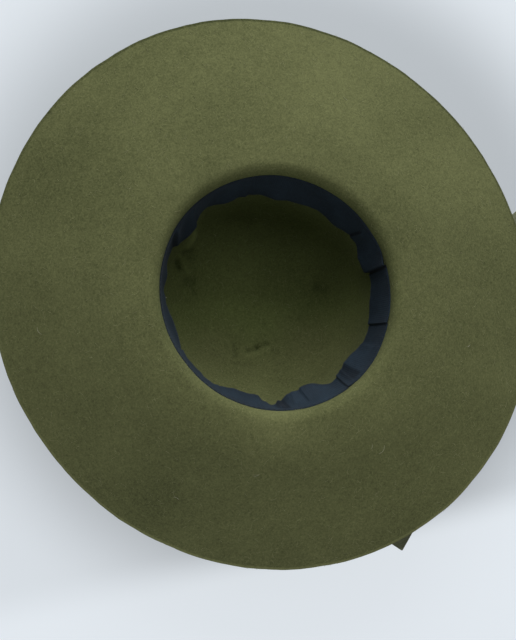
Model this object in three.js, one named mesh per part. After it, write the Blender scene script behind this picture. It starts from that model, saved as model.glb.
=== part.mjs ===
/**
 * Sun hat: a wide, floppy brim and a round crown in one piece of olive wool felt, with a navy
 * sweatband inside the head opening and an olive ribbon knotted round the crown outside.
 *
 * The hat lies upside down, resting on the tip of its crown. Lengths are in millimetres and +Z
 * is up. The origin is the centre of the small flat on the crown's tip, on the surface that the
 * hat rests on. The head opening faces +Z, and its long axis, front to back, runs along Y.
 * Angles are in degrees, anticlockwise round +Z from +X.
 *
 * "Inner face" means the felt's face on the side of the head: the crown's inside and the brim's
 * underside, which both look up here. "Along" is a length on that face, measured outward from
 * the centre of the tip.
 */
import * as THREE from 'three';

// ---- Driving dimensions ----

const FELT_WALL = 2;

const CROWN = {
  height: 110, // from the tip to the brim's level next to the roll, on the inner face
  openingRadius: 90.6, // mean, at the top of the wall
  openingOval: 1, // how far the long half axis passes the mean, and the short one falls short
  openingPull: 1.7, // how far the opening is pulled out of centre
  pullToward: 313, // the angle that it is pulled toward
  shoulderRadius: 50,
  wallLean: 5, // how far the wall opens from upright
};

const BRIM = {
  rollRadius: 9, // the turn from the wall into the brim
  bendLength: 35, // the felt bends down over this length, then runs straight
  width: 120.4, // from the roll to the cut edge
  meanDroop: 16, // below level, past the bend
};

// How the droop varies round the brim: so many waves in one turn, each highest at its angle.
const DROOP_WAVES = [
  { waves: 1, swing: 8.2, at: 204 },
  { waves: 2, swing: 4.8, at: 5 },
];

// Soft dents in the crown: where they are, their half sizes round and up the wall, and how far
// they press the felt in. A negative depth is a bulge.
const CROWN_DENTS = [
  { angle: 104, height: 34, across: 10, tall: 19, depth: 4 },
  { angle: 120, height: 21.5, across: 8, tall: 7, depth: -3 },
  { angle: 205, height: 18, across: 18, tall: 7, depth: 1.5 },
  { angle: 318, height: 30, across: 24, tall: 14, depth: 1.5 },
  { angle: 338, height: 11, across: 12, tall: 6, depth: 2 },
  { angle: 20, height: 40, across: 30, tall: 20, depth: -1.5 },
];

const SWEATBAND = {
  width: 30,
  thickness: 1,
  gap: 0.3,
  belowWallTop: 1.5, // from the top of the wall down to the sewn edge
};

// The sweatband's loose edge stands off the wall in folds. Each row is a crest or a hollow of
// that edge, with its distance inward from the sewn edge.
const SWEATBAND_FOLDS = [
  { angle: 0, inward: 3.4 },
  { angle: 13, inward: 8.8 },
  { angle: 21, inward: 7.1 },
  { angle: 50, inward: 11.1 },
  { angle: 62, inward: 7 },
  { angle: 69, inward: 6.1 },
  { angle: 76, inward: 8.5 },
  { angle: 91, inward: 4.3 },
  { angle: 106, inward: 11.1 },
  { angle: 119, inward: 4.8 },
  { angle: 127, inward: 4.6 },
  { angle: 135, inward: 7.3 },
  { angle: 141.5, inward: 5.3 },
  { angle: 147, inward: 6.6 },
  { angle: 165, inward: 9.9 },
  { angle: 180, inward: 6.3 },
  { angle: 190, inward: 6.9 },
  { angle: 200, inward: 6.1 },
  { angle: 214, inward: 10.7 },
  { angle: 227, inward: 11 },
  { angle: 231.5, inward: 6.6 },
  { angle: 236, inward: 3.8 },
  { angle: 240, inward: 6.6 },
  { angle: 245, inward: 12 },
  { angle: 257, inward: 15.1 },
  { angle: 271, inward: 6.3 },
  { angle: 285, inward: 11.2 },
  { angle: 304, inward: 4.9 },
  { angle: 318, inward: 6.7 },
  { angle: 334, inward: 3.4 },
  { angle: 346, inward: 8.2 },
  { angle: 356, inward: 3.1 },
];

const RIBBON = { width: 28, thickness: 1, gap: 0.3, belowWallTop: 5 };

const KNOT = {
  angle: 304,
  across: 26,
  tall: 34,
  thick: 10,
  height: 84, // of its middle
  gap: 0.8, // to the ribbon behind it, which curves away from it
  squareness: 2.6, // 2 is an ellipsoid, and more is boxier
};

// The two ribbon ends fall from the knot to the surface and lie on it. Each row is a section of
// the fall: how far out from the hat's axis, to the side of the knot and up its middle is, how
// wide the gathered ribbon has spread, and how far it has turned from facing the crown.
const TAIL_FALL = [
  { out: 97, side: 7, up: 65.5, spread: 12, turn: 0 },
  { out: 101, side: 10, up: 50, spread: 18, turn: 10 },
  { out: 106, side: 16, up: 33, spread: 24, turn: 24 },
  { out: 113, side: 25, up: 15, spread: 28, turn: 40 },
  { out: 124, side: 41, up: 3.5, spread: 28, turn: 52 },
  { out: 138, side: 61, up: 0.5, spread: 28, turn: 57 },
];

// The part of each end that lies flat. Side -1 is clockwise of the knot and +1 is the other way.
const TAILS = [
  { node: 'band_tail_a', side: -1, lying: 113, heading: 57.5, bow: 2 },
  { node: 'band_tail_b', side: 1, lying: 152, heading: 54.5, bow: -3 },
];

const TAIL_POINT = { length: 14, tipWidth: 0.6 };

// How finely the soft surfaces are divided.
const STEPS = {
  round: 64,
  sweatband: 96,
  sweatbandDeep: 4,
  bandDeep: 2,
  knotRound: 24,
  knotUp: 10,
  tail: 24,
};

const COLOURS = { felt: 0x5d6140, sweatband: 0x1c2634, ribbon: 0x585c42 };

// ---- Small tools ----

const rad = THREE.MathUtils.degToRad;

/** A point from its angle, its distance from the axis and its height. */
function polar(angle, radius, z) {
  return new THREE.Vector3(radius * Math.cos(rad(angle)), radius * Math.sin(rad(angle)), z);
}

/** Evenly spaced angles round one turn. */
function turnAngles(count) {
  return Array.from({ length: count }, (_, i) => (360 * i) / count);
}

/** The difference between two angles, from -180 to 180. */
function angleBetween(angle, other) {
  return ((((angle - other + 180) % 360) + 360) % 360) - 180;
}

/** A column's value at an angle, swinging smoothly from each row of the table to the next. */
function roundTable(table, column, angle) {
  const next = table.findIndex((row) => row.angle > angle);
  const after = table[next < 0 ? 0 : next];
  const before = table[next < 0 ? table.length - 1 : (next + table.length - 1) % table.length];
  const span = (after.angle - before.angle + 360) % 360;
  const part = ((angle - before.angle + 360) % 360) / span;
  const swing = (1 - Math.cos(Math.PI * part)) / 2;
  return before[column] + (after[column] - before[column]) * swing;
}

/**
 * Skins a run of rings, each a list of as many points, into one closed surface that faces
 * outward. A ring of one point is a pole. In a loop the last ring joins the first.
 */
function skin(rings, isLoop) {
  const points = rings.flat();
  const starts = [];
  let count = 0;
  for (const ring of rings) {
    starts.push(count);
    count += ring.length;
  }
  const faces = [];
  const last = isLoop ? rings.length : rings.length - 1;
  for (let i = 0; i < last; i += 1) {
    const j = (i + 1) % rings.length;
    const sides = Math.max(rings[i].length, rings[j].length);
    for (let k = 0; k < sides; k += 1) {
      const l = (k + 1) % sides;
      const a = starts[i] + (k % rings[i].length);
      const b = starts[i] + (l % rings[i].length);
      const c = starts[j] + (l % rings[j].length);
      const d = starts[j] + (k % rings[j].length);
      if (a !== b) faces.push([a, b, c]);
      if (c !== d) faces.push([a, c, d]);
    }
  }
  const volume = faces.reduce(
    (sum, [a, b, c]) => sum + points[a].dot(points[b].clone().cross(points[c])),
    0,
  );
  const outward = volume > 0 ? faces : faces.map(([a, b, c]) => [a, c, b]);
  const geometry = new THREE.BufferGeometry().setFromPoints(points);
  geometry.setIndex(outward.flat());
  geometry.computeVertexNormals();
  return geometry;
}

/** A named piece of the hat. */
function piece(name, geometry, color, roughness) {
  const mesh = new THREE.Mesh(
    geometry,
    new THREE.MeshStandardMaterial({ color, roughness, metalness: 0 }),
  );
  mesh.name = name;
  return mesh;
}

// ---- The felt ----

const wallHeading = 90 - CROWN.wallLean;
const rollRise = BRIM.rollRadius * (1 - Math.cos(rad(wallHeading)));
const wallTop = CROWN.height - rollRise;
const shoulderRise = CROWN.shoulderRadius * (1 - Math.cos(rad(wallHeading)));
const wallLength = (wallTop - FELT_WALL - shoulderRise) / Math.sin(rad(wallHeading));
const shoulderReach = CROWN.shoulderRadius * Math.sin(rad(wallHeading));
const wallReach = wallLength * Math.cos(rad(wallHeading));
const tipRadius = CROWN.openingRadius - wallReach - shoulderReach;

/** How far the brim hangs below level at an angle, in degrees. */
function brimDroop(angle) {
  return DROOP_WAVES.reduce(
    (droop, row) => droop + row.swing * Math.cos(rad(row.waves * (angle - row.at))),
    BRIM.meanDroop,
  );
}

/** The inner face's runs at an angle: each a length over which the face turns by an angle. */
function feltRuns(angle) {
  return [
    { name: 'tip', length: tipRadius, turn: 0, steps: 2 },
    { name: 'shoulder', length: CROWN.shoulderRadius * rad(wallHeading), turn: wallHeading, steps: 8 },
    { name: 'wall', length: wallLength, turn: 0, steps: 5 },
    { name: 'roll', length: BRIM.rollRadius * rad(wallHeading), turn: -wallHeading, steps: 4 },
    { name: 'bend', length: BRIM.bendLength, turn: -brimDroop(angle), steps: 3 },
    { name: 'skirt', length: BRIM.width - BRIM.bendLength, turn: 0, steps: 5 },
  ];
}

/** Where the inner face is, and the way it heads above level, some length along it. */
function feltProfile(angle, along) {
  let radius = 0;
  let z = FELT_WALL;
  let heading = 0;
  let left = along;
  for (const run of feltRuns(angle)) {
    const used = Math.min(left, run.length);
    const turned = (run.turn * used) / run.length;
    const half = rad(turned) / 2;
    const chord = half === 0 ? used : (used * Math.sin(half)) / half;
    radius += chord * Math.cos(rad(heading) + half);
    z += chord * Math.sin(rad(heading) + half);
    heading += turned;
    left -= used;
    if (left <= 0) break;
  }
  return { radius, z, heading };
}

/** How far the dents press the crown in at an angle and a height. */
function dentAt(angle, radius, z) {
  return CROWN_DENTS.reduce((sum, dent) => {
    const round = (rad(angleBetween(angle, dent.angle)) * radius) / dent.across;
    const up = (z - dent.height) / dent.tall;
    return sum + dent.depth * Math.exp(-round * round - up * up);
  }, 0);
}

/** The length along the inner face at which a named run starts. */
function runStart(name) {
  const runs = feltRuns(0);
  const index = runs.findIndex((run) => run.name === name);
  return runs.slice(0, index).reduce((sum, run) => sum + run.length, 0);
}

/** How far out the opening's pull moves the felt: growing up the wall, then fading over the brim. */
function pullAt(angle, along) {
  const upWall = THREE.MathUtils.clamp((along - runStart('wall')) / wallLength, 0, 1);
  const overBrim = THREE.MathUtils.clamp((along - runStart('bend')) / BRIM.width, 0, 1);
  return CROWN.openingPull * Math.cos(rad(angle - CROWN.pullToward)) * (upWall - overBrim);
}

/** A point off the inner face: so far along it, and so far out through the felt from it. */
function feltPoint(angle, along, through) {
  const { radius, z, heading } = feltProfile(angle, along);
  const ovalShift = CROWN.openingOval * Math.cos(rad(2 * angle));
  const onTip = Math.min(1, along / tipRadius);
  const shift = (ovalShift + dentAt(angle, radius, z)) * onTip - pullAt(angle, along);
  const out = radius + through * Math.sin(rad(heading)) - shift;
  return polar(angle, out, z - through * Math.cos(rad(heading)));
}

/** The length along the inner face of a point of the wall so far below its top. */
function wallAlong(below) {
  return runStart('roll') - below / Math.cos(rad(CROWN.wallLean));
}

/** The lengths along the inner face that the felt is divided at, without the centre. */
function feltStations() {
  return feltRuns(0).flatMap((run) => {
    const start = runStart(run.name);
    return Array.from({ length: run.steps }, (_, i) => start + (run.length * (i + 1)) / run.steps);
  });
}

/** The one-piece felt body, hollow and open at the head. */
function hatBody() {
  const angles = turnAngles(STEPS.round);
  const stations = feltStations();
  const face = (through) => stations.map((along) => angles.map((a) => feltPoint(a, along, through)));
  const innerCentre = [new THREE.Vector3(0, 0, FELT_WALL)];
  const outerCentre = [new THREE.Vector3(0, 0, 0)];
  const rings = [innerCentre, ...face(0), ...face(FELT_WALL).reverse(), outerCentre];
  return piece('hat_body', skin(rings, false), COLOURS.felt, 0.95);
}

// ---- The sweatband ----

/** A point of the sweatband: a part of the way down it, and so far through it from inside. */
function sweatbandPoint(angle, part, through) {
  const inward = roundTable(SWEATBAND_FOLDS, 'inward', angle);
  const drop = Math.sqrt(SWEATBAND.width ** 2 - inward ** 2);
  const lean = Math.tan(rad(CROWN.wallLean));
  const withWall = drop * lean;
  const sewnRadius = CROWN.openingRadius - SWEATBAND.belowWallTop * lean
    - SWEATBAND.gap - SWEATBAND.thickness - CROWN.openingOval * Math.cos(rad(2 * angle));
  const offWall = (inward - withWall) * part * part;
  const below = SWEATBAND.belowWallTop + drop * part;
  const pull = pullAt(angle, wallAlong(below));
  const radius = sewnRadius + pull - withWall * part - offWall + through;
  return polar(angle, radius, wallTop - below);
}

/** The sweatband, sewn at its upper edge, with its lower edge loose and wavy. */
function sweatband() {
  const angles = turnAngles(STEPS.sweatband);
  const parts = Array.from({ length: STEPS.sweatbandDeep + 1 }, (_, i) => i / STEPS.sweatbandDeep);
  const face = (through) => parts.map((part) => angles.map((a) => sweatbandPoint(a, part, through)));
  const rings = [...face(0), ...face(SWEATBAND.thickness).reverse()];
  return piece('sweatband', skin(rings, true), COLOURS.sweatband, 0.8);
}

// ---- The ribbon outside ----

/** The ribbon round the foot of the crown. */
function hatBand() {
  const angles = turnAngles(STEPS.round);
  const top = runStart('roll') - RIBBON.belowWallTop;
  const lengths = Array.from(
    { length: STEPS.bandDeep + 1 },
    (_, i) => top - (RIBBON.width * i) / STEPS.bandDeep,
  );
  const near = FELT_WALL + RIBBON.gap;
  const face = (through) => lengths.map((along) => angles.map((a) => feltPoint(a, along, through)));
  const rings = [...face(near), ...face(near + RIBBON.thickness).reverse()];
  return piece('hat_band', skin(rings, true), COLOURS.ribbon, 0.85);
}

/** The ribbon's flat knot, which leans as the crown's wall does. */
function bandKnot() {
  const power = 2 / KNOT.squareness;
  const boxy = (value) => Math.sign(value) * Math.abs(value) ** power;
  const point = (round, up) => new THREE.Vector3(
    (KNOT.thick / 2) * boxy(Math.cos(round)) * boxy(Math.cos(up)),
    (KNOT.across / 2) * boxy(Math.sin(round)) * boxy(Math.cos(up)),
    (KNOT.tall / 2) * boxy(Math.sin(up)),
  );
  const rings = [];
  for (let i = 0; i <= STEPS.knotUp; i += 1) {
    const up = Math.PI * (i / STEPS.knotUp - 0.5);
    const isPole = i === 0 || i === STEPS.knotUp;
    const rounds = isPole ? [0] : turnAngles(STEPS.knotRound);
    rings.push(rounds.map((round) => point(rad(round), up)));
  }
  const lean = Math.tan(rad(CROWN.wallLean));
  const below = wallTop - KNOT.height;
  const wallRadius = CROWN.openingRadius - below * lean + pullAt(KNOT.angle, wallAlong(below));
  const bandDepth = FELT_WALL + RIBBON.gap + RIBBON.thickness;
  const knot = piece('band_knot', skin(rings, false), COLOURS.ribbon, 0.85);
  const knotRadius = wallRadius + bandDepth + KNOT.gap + KNOT.thick / 2;
  knot.position.copy(polar(KNOT.angle, knotRadius, KNOT.height));
  knot.rotation.set(0, rad(CROWN.wallLean), rad(KNOT.angle), 'ZYX');
  return knot;
}

/** The middle line of a loose end, with its width and turn, from the knot to its tip. */
function tailRows({ lying, heading, bow }) {
  const landing = TAIL_FALL[TAIL_FALL.length - 1];
  const direction = new THREE.Vector2(Math.cos(rad(heading)), Math.sin(rad(heading)));
  const onFloor = (length, bowed, spread) => ({
    out: landing.out + direction.x * length - direction.y * bowed,
    side: landing.side + direction.y * length + direction.x * bowed,
    up: landing.up,
    spread,
    turn: heading,
  });
  const bends = [
    ...TAIL_FALL,
    onFloor(lying / 3, bow, RIBBON.width),
    onFloor((2 * lying) / 3, bow, RIBBON.width),
    onFloor(lying - TAIL_POINT.length, 0, RIBBON.width),
  ];
  const smooth = (column) => new THREE.CatmullRomCurve3(bends.map(column), false, 'catmullrom');
  const line = smooth((row) => new THREE.Vector3(row.out, row.side, row.up));
  const sizes = smooth((row) => new THREE.Vector3(row.spread, row.turn, 0));
  const rows = Array.from({ length: STEPS.tail + 1 }, (_, i) => {
    const at = line.getPoint(i / STEPS.tail);
    const size = sizes.getPoint(i / STEPS.tail);
    return { out: at.x, side: at.y, up: Math.max(at.z, landing.up), spread: size.x, turn: size.y };
  });
  return [...rows, onFloor(lying, 0, TAIL_POINT.tipWidth)];
}

/** One loose end of the ribbon, from the knot down to the surface and out along it. */
function bandTail(tail) {
  const rows = tailRows(tail);
  const place = (row) => new THREE.Vector3(row.out, row.side, row.up);
  const sections = rows.map((row, i) => {
    const before = place(rows[Math.max(i - 1, 0)]);
    const after = place(rows[Math.min(i + 1, rows.length - 1)]);
    const forward = after.sub(before).normalize();
    const across = new THREE.Vector3(-Math.sin(rad(row.turn)), Math.cos(rad(row.turn)), 0);
    const face = forward.clone().cross(across).normalize();
    const corner = (w, t) => place(row)
      .addScaledVector(across, (w * row.spread) / 2)
      .addScaledVector(face, (t * RIBBON.thickness) / 2);
    return [corner(-1, -1), corner(1, -1), corner(1, 1), corner(-1, 1)];
  });
  const first = [place(rows[0])];
  const last = [place(rows[rows.length - 1])];
  const rings = [first, ...sections, last].map((ring) => ring.map(
    (point) => new THREE.Vector3(point.x, tail.side * point.y, Math.max(point.z, 0)),
  ));
  const mesh = piece(tail.node, skin(rings, false), COLOURS.ribbon, 0.85);
  mesh.rotation.z = rad(KNOT.angle);
  return mesh;
}

// ---- The whole hat ----

const hat = new THREE.Group();
hat.add(hatBody(), sweatband(), hatBand(), bandKnot(), ...TAILS.map(bandTail));

export default hat;
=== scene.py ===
"""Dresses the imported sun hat: olive wool felt, a navy grosgrain sweatband and an olive ribbon.

The hat lies upside down on the tip of its crown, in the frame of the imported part: +Z is up, the
head opening faces up, and the hat's front-to-back axis runs along Y. Shapes are worked out in
millimetres and turned to metres where a mesh is made. Angles are in degrees, anticlockwise round
+Z from +X. "Inner face" is the felt's face on the side of the head, which looks up here, and
"along" is a length on that face, outward from the centre of the crown's tip.
"""

import logging
import math
from dataclasses import dataclass
from enum import Enum

import bpy
import numpy as np
from mathutils import Matrix, Vector


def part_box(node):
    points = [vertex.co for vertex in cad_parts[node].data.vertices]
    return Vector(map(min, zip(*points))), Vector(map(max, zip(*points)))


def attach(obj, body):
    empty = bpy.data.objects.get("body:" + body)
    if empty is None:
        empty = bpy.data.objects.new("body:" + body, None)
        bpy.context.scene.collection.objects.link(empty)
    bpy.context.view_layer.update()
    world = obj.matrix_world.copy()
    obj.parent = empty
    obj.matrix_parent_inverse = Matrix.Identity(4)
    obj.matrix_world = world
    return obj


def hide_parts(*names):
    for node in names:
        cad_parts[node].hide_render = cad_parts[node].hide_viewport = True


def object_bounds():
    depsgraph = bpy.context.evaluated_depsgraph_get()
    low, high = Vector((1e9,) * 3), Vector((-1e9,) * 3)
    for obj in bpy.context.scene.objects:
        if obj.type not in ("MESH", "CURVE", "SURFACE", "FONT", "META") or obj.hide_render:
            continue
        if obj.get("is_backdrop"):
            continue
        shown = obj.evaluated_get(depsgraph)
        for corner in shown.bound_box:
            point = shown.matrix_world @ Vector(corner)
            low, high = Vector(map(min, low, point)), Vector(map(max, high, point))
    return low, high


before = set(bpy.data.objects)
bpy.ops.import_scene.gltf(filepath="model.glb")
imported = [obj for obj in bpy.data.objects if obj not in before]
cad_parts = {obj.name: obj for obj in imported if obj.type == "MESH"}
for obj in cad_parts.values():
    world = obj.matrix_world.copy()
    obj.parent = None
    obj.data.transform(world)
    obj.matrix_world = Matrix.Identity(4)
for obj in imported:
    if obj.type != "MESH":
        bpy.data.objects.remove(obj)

logging.basicConfig(level=logging.INFO, format="%(levelname)s %(name)s: %(message)s")
log = logging.getLogger("sun_hat")

MM = 0.001
BODY = "root"
STEEP = 0.8  # the rise of a thread, from 0 to 1, above which +X and not +Z serves as its up
TAPER_START = 0.35  # how far into its half turn, in radians, a thread's taper starts and ends


# ---- Colour and nodes ----


def linear(hex_colour: str) -> tuple[float, float, float, float]:
    """Turns an sRGB colour into the linear one that Blender works in.

    Args:
        hex_colour: the colour as "#rrggbb".

    Returns:
        Linear red, green, blue and an alpha of 1.
    """
    parts = [int(hex_colour[i : i + 2], 16) / 255 for i in (1, 3, 5)]
    curved = [p / 12.92 if p <= 0.04045 else ((p + 0.055) / 1.055) ** 2.4 for p in parts]
    return curved[0], curved[1], curved[2], 1.0


def add_node(
    tree: bpy.types.NodeTree, kind: str, inputs: dict | None = None, **settings
) -> bpy.types.Node:
    """Adds a node to a material or world with its settings and links.

    Args:
        tree: the node tree that gets the node.
        kind: Blender's name for the node, such as "ShaderNodeTexNoise".
        inputs: a value, or the output socket that feeds it, for each input by name or index.
        settings: the node's own properties.

    Returns:
        The new node.
    """
    node = tree.nodes.new(kind)
    for name, value in settings.items():
        setattr(node, name, value)
    for key, value in (inputs or {}).items():
        if isinstance(value, bpy.types.NodeSocket):
            tree.links.new(value, node.inputs[key])
        else:
            node.inputs[key].default_value = value
    return node


def start_material(name: str) -> bpy.types.NodeTree:
    """Makes an empty material by that name and returns its node tree."""
    material = bpy.data.materials.new(name)
    material.use_nodes = True
    material.node_tree.nodes.clear()
    return material.node_tree


def finish_material(tree: bpy.types.NodeTree, shader: dict) -> bpy.types.Material:
    """Adds the surface shader and the output to a material.

    Args:
        tree: the material's node tree.
        shader: the Principled shader's inputs by name.

    Returns:
        The material that the tree belongs to.
    """
    surface = add_node(tree, "ShaderNodeBsdfPrincipled", shader)
    add_node(tree, "ShaderNodeOutputMaterial", {"Surface": surface.outputs["BSDF"]})
    return next(m for m in bpy.data.materials if m.node_tree == tree)


def add_up(
    tree: bpy.types.NodeTree,
    patterns: list[tuple[bpy.types.NodeSocket, float]],
    start: float | bpy.types.NodeSocket,
) -> bpy.types.NodeSocket:
    """Adds up patterns by their strengths.

    Args:
        tree: the material's node tree.
        patterns: each pattern and how strongly it counts.
        start: the tone or the pattern that they are added to.

    Returns:
        The summed pattern.
    """
    total = start
    for pattern, strength in patterns:
        inputs = {0: pattern, 1: strength, 2: total}
        total = add_node(tree, "ShaderNodeMath", inputs, operation="MULTIPLY_ADD").outputs[0]
    return total


# ---- Finishes ----


@dataclass(frozen=True)
class Blots:
    """A pattern of soft blots in the felt: how coarse it is, and how strongly its tone shows."""

    size_mm: float
    detail: float
    roughness: float
    tone: float


@dataclass(frozen=True)
class WoolFelt:
    """Wool felt, fulled, pressed and sheared: matt, cloudy, and covered in fine short fibres.

    Felt scatters light in all directions, so there is no highlight, only a faint pale sheen where
    the surface turns away. The dye takes unevenly, which gives the eye soft clouds of tone, and the
    matted hairs lie every way, which gives it a short, broken grain. The inside of the crown has a
    painted shade tint, a little greener, which is weaker on the side that faces the light: a mesh
    attribute, from 0 to 1, says where. Creases are painted darker and ridges paler, the inner face has
    soft patches of painted light and shade, and the cut edge has a painted highlight on one side and
    painted shade on the other: another mesh attribute says where, from 0 for painted shade, through
    0.5, to 1 for a painted highlight.
    """

    name: str = "olive_wool_felt"
    dark: str = "#3f4428"
    light: str = "#84885b"
    # painted shade tint: the greener colour given to the crown's shaded inside
    crown_shade_colour: str = "#f2ffe9"
    sheen_tint: str = "#b9bb98"
    clouds: Blots = Blots(38.0, detail=2.0, roughness=0.5, tone=0.26)
    mottle: Blots = Blots(6.0, detail=3.0, roughness=0.55, tone=0.18)
    # real fibres are 0.02 mm thick: drawn this coarse so that they show
    grain: Blots = Blots(1.6, detail=3.0, roughness=0.75, tone=0.9)
    hair_tone: float = 0.65
    # how strongly the painted shading shows
    painted_shading_tone: float = 0.75
    middle_tone: float = 0.36  # where every pattern is at its own middle, 0.5
    hair_wide_mm: float = 1.0  # one matted tuft; a single fibre would be far too fine to show
    hair_long_mm: float = 5.0
    hair_turns: tuple[float, ...] = (12.0, 71.0, 134.0)
    grain_height: float = 0.6
    hair_height: float = 0.8
    fibre_depth_mm: float = 0.25

    def build(self) -> bpy.types.Material:
        """Makes the felt's material."""
        tree = start_material(self.name)
        place = add_node(tree, "ShaderNodeTexCoord").outputs["Object"]
        patterns = []
        for blots in (self.clouds, self.mottle, self.grain):
            noise = add_node(
                tree,
                "ShaderNodeTexNoise",
                {
                    "Vector": place,
                    "Scale": 1 / (blots.size_mm * MM),
                    "Detail": blots.detail,
                    "Roughness": blots.roughness,
                },
            )
            patterns.append((noise.outputs["Fac"], blots.tone))
        grain = patterns[-1][0]
        hairs = self._hairs(tree, place)
        # painted shading: darker in creases, paler on ridges, soft patches of painted light and shade,
        # and the cut edge's painted highlight and shade
        pressed = add_node(tree, "ShaderNodeAttribute", attribute_name="nap").outputs["Fac"]
        patterns += [(hairs, self.hair_tone), (pressed, self.painted_shading_tone)]
        tone = add_up(tree, patterns, self.middle_tone - sum(part[1] for part in patterns) / 2)
        dyed = add_node(
            tree,
            "ShaderNodeMix",
            {"Factor": tone, "A": linear(self.dark), "B": linear(self.light)},
            data_type="RGBA",
        )
        # painted shade tint: the crown's shaded inside turns greener, less so on its lit side
        kept = add_node(tree, "ShaderNodeAttribute", attribute_name="kept").outputs["Fac"]
        tinted = add_node(
            tree,
            "ShaderNodeMix",
            {"Factor": kept, "A": dyed.outputs["Result"], "B": linear(self.crown_shade_colour)},
            data_type="RGBA",
            blend_type="MULTIPLY",
        )
        height = add_up(tree, [(grain, self.grain_height), (hairs, self.hair_height)], 0.0)
        bump = add_node(
            tree,
            "ShaderNodeBump",
            {"Height": height, "Distance": self.fibre_depth_mm * MM, "Strength": 0.8},
        )
        return finish_material(
            tree,
            {
                "Base Color": tinted.outputs["Result"],
                "Roughness": 0.95,
                "IOR": 1.45,
                "Specular IOR Level": 0.15,
                "Sheen Weight": 0.12,
                "Sheen Roughness": 0.6,
                "Sheen Tint": linear(self.sheen_tint),
                "Normal": bump.outputs["Normal"],
            },
        )

    def _hairs(
        self, tree: bpy.types.NodeTree, place: bpy.types.NodeSocket
    ) -> bpy.types.NodeSocket:
        """Adds short strokes that lie in several directions, the strongest one showing."""
        strongest = None
        wide, long = self.hair_wide_mm * MM, self.hair_long_mm * MM
        for turn in self.hair_turns:
            along = add_node(
                tree,
                "ShaderNodeMapping",
                {
                    "Vector": place,
                    "Rotation": (0.0, 0.0, math.radians(turn)),
                    "Scale": (long, wide, wide),
                },
                vector_type="TEXTURE",
            )
            strokes = add_node(
                tree,
                "ShaderNodeTexNoise",
                {"Vector": along.outputs["Vector"], "Scale": 1.0, "Detail": 1.0},
            ).outputs["Fac"]
            if strongest is not None:
                both = {0: strongest, 1: strokes}
                strokes = add_node(tree, "ShaderNodeMath", both, operation="MAXIMUM").outputs[0]
            strongest = strokes
        return strongest


@dataclass(frozen=True)
class Grosgrain:
    """Woven grosgrain ribbon: close ribs across the ribbon give it a soft, broken sheen.

    The ribs are read from the mesh's "weave" attribute, metres along and across the ribbon. At the foot
    of a tuck's sharp side the ribbon gets painted shade, nearly black: a mesh attribute, from 0 to 1,
    says where.
    """

    name: str
    dark: str
    light: str
    # painted shade: the near-black colour at the feet of the tucks
    lapped: str = "#040a15"
    sheen_tint: str = "#aab4c4"
    rib_mm: float = 1.7  # real ribs are about 1 mm apart: drawn this coarse so that they show
    rib_tone: float = 0.05
    rib_depth_mm: float = 0.05
    yarn_mm: float = 2.381  # real yarn is finer: drawn as uneven patches of it, so that they show
    yarn_tone: float = 0.6
    yarn_height: float = 0.8
    wear_mm: float = 22.22
    wear_tone: float = 0.9
    start_tone: float = -0.25

    def build(self) -> bpy.types.Material:
        """Makes the ribbon's material."""
        tree = start_material(self.name)
        weave = add_node(tree, "ShaderNodeAttribute", attribute_name="weave").outputs["Vector"]
        along = add_node(tree, "ShaderNodeSeparateXYZ", {"Vector": weave}).outputs["X"]
        per_metre = 2 * math.pi / (self.rib_mm * MM)
        turns = add_node(tree, "ShaderNodeMath", {0: along, 1: per_metre}, operation="MULTIPLY")
        ribs = add_node(
            tree, "ShaderNodeMath", {0: turns.outputs[0]}, operation="SINE"
        ).outputs[0]
        yarn, wear = (
            add_node(
                tree,
                "ShaderNodeTexNoise",
                {"Vector": weave, "Scale": 1 / (size_mm * MM), "Detail": detail},
            ).outputs["Fac"]
            for size_mm, detail in ((self.yarn_mm, 3.0), (self.wear_mm, 2.0))
        )
        patterns = [(ribs, self.rib_tone), (yarn, self.yarn_tone), (wear, self.wear_tone)]
        tone = add_up(tree, patterns, self.start_tone)
        dyed = add_node(
            tree,
            "ShaderNodeMix",
            {"Factor": tone, "A": linear(self.dark), "B": linear(self.light)},
            data_type="RGBA",
        )
        # painted shade at the feet of the tucks
        lapped = add_node(tree, "ShaderNodeAttribute", attribute_name="lapped").outputs["Fac"]
        shaded = add_node(
            tree,
            "ShaderNodeMix",
            {"Factor": lapped, "A": dyed.outputs["Result"], "B": linear(self.lapped)},
            data_type="RGBA",
        )
        height = add_up(tree, [(yarn, self.yarn_height)], ribs)
        bump = add_node(
            tree,
            "ShaderNodeBump",
            {"Height": height, "Distance": self.rib_depth_mm * MM, "Strength": 0.7},
        )
        return finish_material(
            tree,
            {
                "Base Color": shaded.outputs["Result"],
                "Roughness": 0.78,
                "IOR": 1.5,
                "Specular IOR Level": 0.3,
                "Sheen Weight": 0.1,
                "Sheen Roughness": 0.5,
                "Sheen Tint": linear(self.sheen_tint),
                "Normal": bump.outputs["Normal"],
            },
        )


@dataclass(frozen=True)
class SewingThread:
    """Twisted polyester sewing thread: a slight gloss and a fine twist."""

    name: str
    dark: str
    light: str
    twist_mm: float = 0.6667
    twist_depth_mm: float = 0.05

    def build(self) -> bpy.types.Material:
        """Makes the thread's material."""
        tree = start_material(self.name)
        place = add_node(tree, "ShaderNodeTexCoord").outputs["Object"]
        scale = 1 / (self.twist_mm * MM)
        twist = add_node(
            tree, "ShaderNodeTexNoise", {"Vector": place, "Scale": scale}
        ).outputs["Fac"]
        bump = add_node(
            tree, "ShaderNodeBump", {"Height": twist, "Distance": self.twist_depth_mm * MM}
        )
        dyed = add_node(
            tree,
            "ShaderNodeMix",
            {"Factor": twist, "A": linear(self.dark), "B": linear(self.light)},
            data_type="RGBA",
        )
        return finish_material(
            tree,
            {
                "Base Color": dyed.outputs["Result"],
                "Roughness": 0.55,
                "Normal": bump.outputs["Normal"],
            },
        )


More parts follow.
